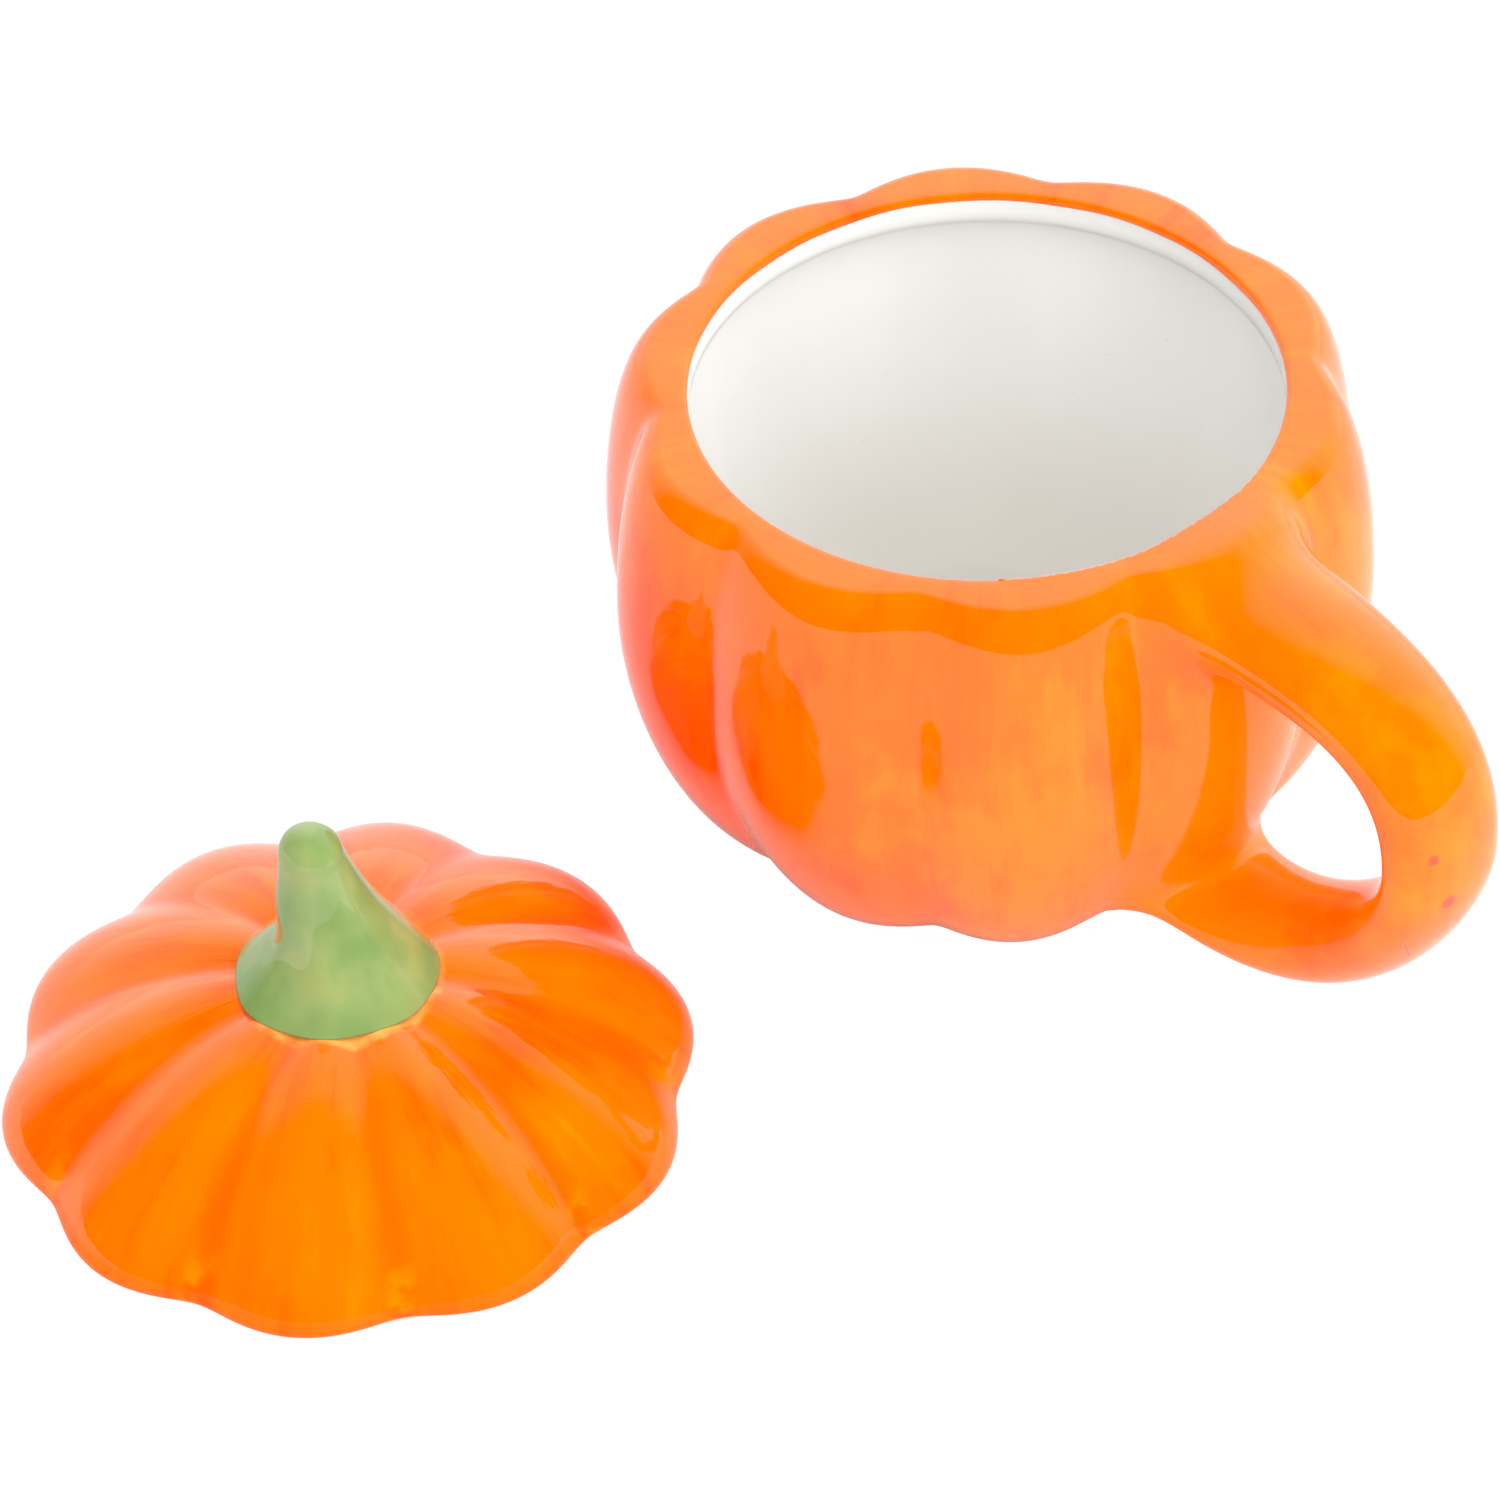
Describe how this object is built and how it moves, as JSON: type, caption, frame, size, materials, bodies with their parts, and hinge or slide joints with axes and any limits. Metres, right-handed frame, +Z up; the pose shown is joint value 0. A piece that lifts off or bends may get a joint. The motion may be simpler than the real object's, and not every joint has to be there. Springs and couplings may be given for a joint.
{
  "type": "lidded pumpkin mug",
  "caption": "Ribbed pumpkin-shaped ceramic mug with a loop handle and a white lining, and a loose ribbed lid with a stalk grip that drops into its mouth.",
  "frame": {"origin": "centre of the mug's foot ring, on the table", "axes": "+Z up along the mug's axis, +X from the mug's axis towards the handle"},
  "size_m": [0.1695, 0.2306, 0.0847],
  "materials": {
    "orange_glaze": "gloss",
    "white_glaze": "gloss",
    "green_glaze": "gloss",
    "bare_clay": "matt"
  },
  "bodies": {
    "mug": {"mug_shell": "orange_glaze", "mug_lining": "white_glaze", "foot_ring": "bare_clay", "handle": "orange_glaze"},
    "lid": {"lid_shell": "orange_glaze", "lid_lining": "white_glaze", "lid_collar": "bare_clay", "stem": "green_glaze"}
  },
  "joints": [
    {"name": "lid_lift", "type": "slide", "parent": "mug", "child": "lid", "axis": [0, 0, 1], "range_m": [0, 0.12]}
  ]
}
